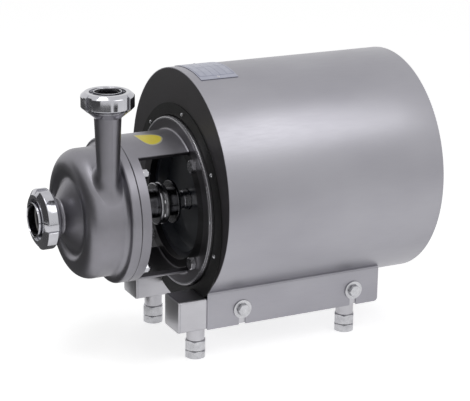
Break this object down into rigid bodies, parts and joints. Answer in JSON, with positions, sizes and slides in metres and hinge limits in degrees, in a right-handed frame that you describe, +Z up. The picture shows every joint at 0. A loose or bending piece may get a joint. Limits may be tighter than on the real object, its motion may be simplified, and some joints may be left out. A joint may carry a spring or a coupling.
{
  "type": "centrifugal pump",
  "caption": "Close-coupled sanitary centrifugal pump with screwed pipe unions, open lantern, cylindrical sheet-steel motor shroud and square-rail base on levelling feet.",
  "frame": {"origin": "on the floor, under the middle of the overall box", "axes": "+X along the shaft from the suction port to the motor, +Z up, -Y the side the picture is taken from"},
  "size_m": [0.6014, 0.355, 0.4325],
  "materials": {
    "satin_steel": "bead-blasted stainless steel, satin",
    "brushed_sheet": "brushed stainless sheet",
    "polished_steel": "polished stainless steel",
    "bolt_steel": "bright stainless steel",
    "dark_plate": "dark grey satin sheet",
    "black_ring": "black",
    "rail_steel": "satin stainless box section",
    "motor_paint": "dark grey-blue motor enamel",
    "dark_core": "laminated steel",
    "copper_winding": "varnished copper winding",
    "seal_rubber": "black rubber",
    "white_gasket": "pale food-grade rubber",
    "seal_carbon": "carbon seal face",
    "seal_ceramic": "ceramic seal seat",
    "plate_silver": "plain silver plate",
    "black_plastic": "black plastic",
    "rotor_aluminium": "cast aluminium and steel"
  },
  "bodies": {
    "frame": {"base_rails": "rail_steel", "rail_end_caps": "rail_steel", "cross_bars": "rail_steel", "foot_bosses": "rail_steel", "foot_lock_nuts": "bolt_steel", "motor_risers": "rail_steel", "motor_foot_bolts": "bolt_steel", "motor_foot_nuts": "bolt_steel", "shroud": "brushed_sheet", "skirt_washers": "bolt_steel", "skirt_bolts": "bolt_steel", "front_plate": "dark_plate", "closing_ring": "black_ring", "ring_screws": "bolt_steel", "rear_cover": "brushed_sheet", "cable_gland": "black_plastic", "rating_plate": "plate_silver", "plate_rivets": "bolt_steel", "lantern": "satin_steel", "flange_bolts": "bolt_steel", "flange_nuts": "bolt_steel", "pump_casing": "satin_steel", "casing_washers": "bolt_steel", "casing_dome_nuts": "polished_steel", "casing_studs": "bolt_steel", "suction_liner": "polished_steel", "suction_gasket": "white_gasket", "discharge_liner": "polished_steel", "discharge_gasket": "white_gasket", "back_plate": "satin_steel", "casing_o_ring": "seal_rubber", "seal_seat": "seal_ceramic", "bearing_outer_rings": "bolt_steel", "bearing_balls": "polished_steel", "front_end_shield": "motor_paint", "rear_end_shield": "motor_paint", "motor_housing": "motor_paint", "stator_core": "dark_core", "stator_winding": "copper_winding", "fan_cover": "motor_paint", "terminal_box": "motor_paint", "terminal_lid": "motor_paint"},
    "rotor": {"impeller": "satin_steel", "impeller_nut": "polished_steel", "pump_shaft": "bolt_steel", "clamp_collar": "bolt_steel", "collar_screws": "bolt_steel", "seal_face": "seal_carbon", "seal_bellows": "bolt_steel", "slinger_disc": "seal_rubber", "motor_shaft": "bolt_steel", "rotor_core": "rotor_aluminium", "bearing_inner_rings": "bolt_steel", "cooling_fan": "black_plastic"},
    "suction_union": {"suction_nut": "polished_steel"},
    "discharge_union": {"discharge_nut": "polished_steel"},
    "foot_bolt_1": {"foot_bolt_1": "bolt_steel"},
    "foot_bolt_2": {"foot_bolt_2": "bolt_steel"},
    "foot_bolt_3": {"foot_bolt_3": "bolt_steel"},
    "foot_bolt_4": {"foot_bolt_4": "bolt_steel"}
  },
  "joints": [
    {"name": "rotor_spin", "type": "hinge", "parent": "frame", "child": "rotor", "pos_m": [0, 0, 0.226], "axis": [1, 0, 0], "continuous": true},
    {"name": "suction_nut_turn", "type": "hinge", "parent": "frame", "child": "suction_union", "pos_m": [-0.29075, 0, 0.226], "axis": [1, 0, 0], "continuous": true},
    {"name": "discharge_nut_turn", "type": "hinge", "parent": "frame", "child": "discharge_union", "pos_m": [-0.20925, -0.072, 0.4185], "axis": [0, 0, 1], "continuous": true},
    {"name": "foot_1_height", "type": "slide", "parent": "frame", "child": "foot_bolt_1", "axis": [0, 0, 1], "range_m": [-0.012, 0]},
    {"name": "foot_2_height", "type": "slide", "parent": "frame", "child": "foot_bolt_2", "axis": [0, 0, 1], "range_m": [-0.012, 0]},
    {"name": "foot_3_height", "type": "slide", "parent": "frame", "child": "foot_bolt_3", "axis": [0, 0, 1], "range_m": [-0.012, 0]},
    {"name": "foot_4_height", "type": "slide", "parent": "frame", "child": "foot_bolt_4", "axis": [0, 0, 1], "range_m": [-0.012, 0]}
  ]
}
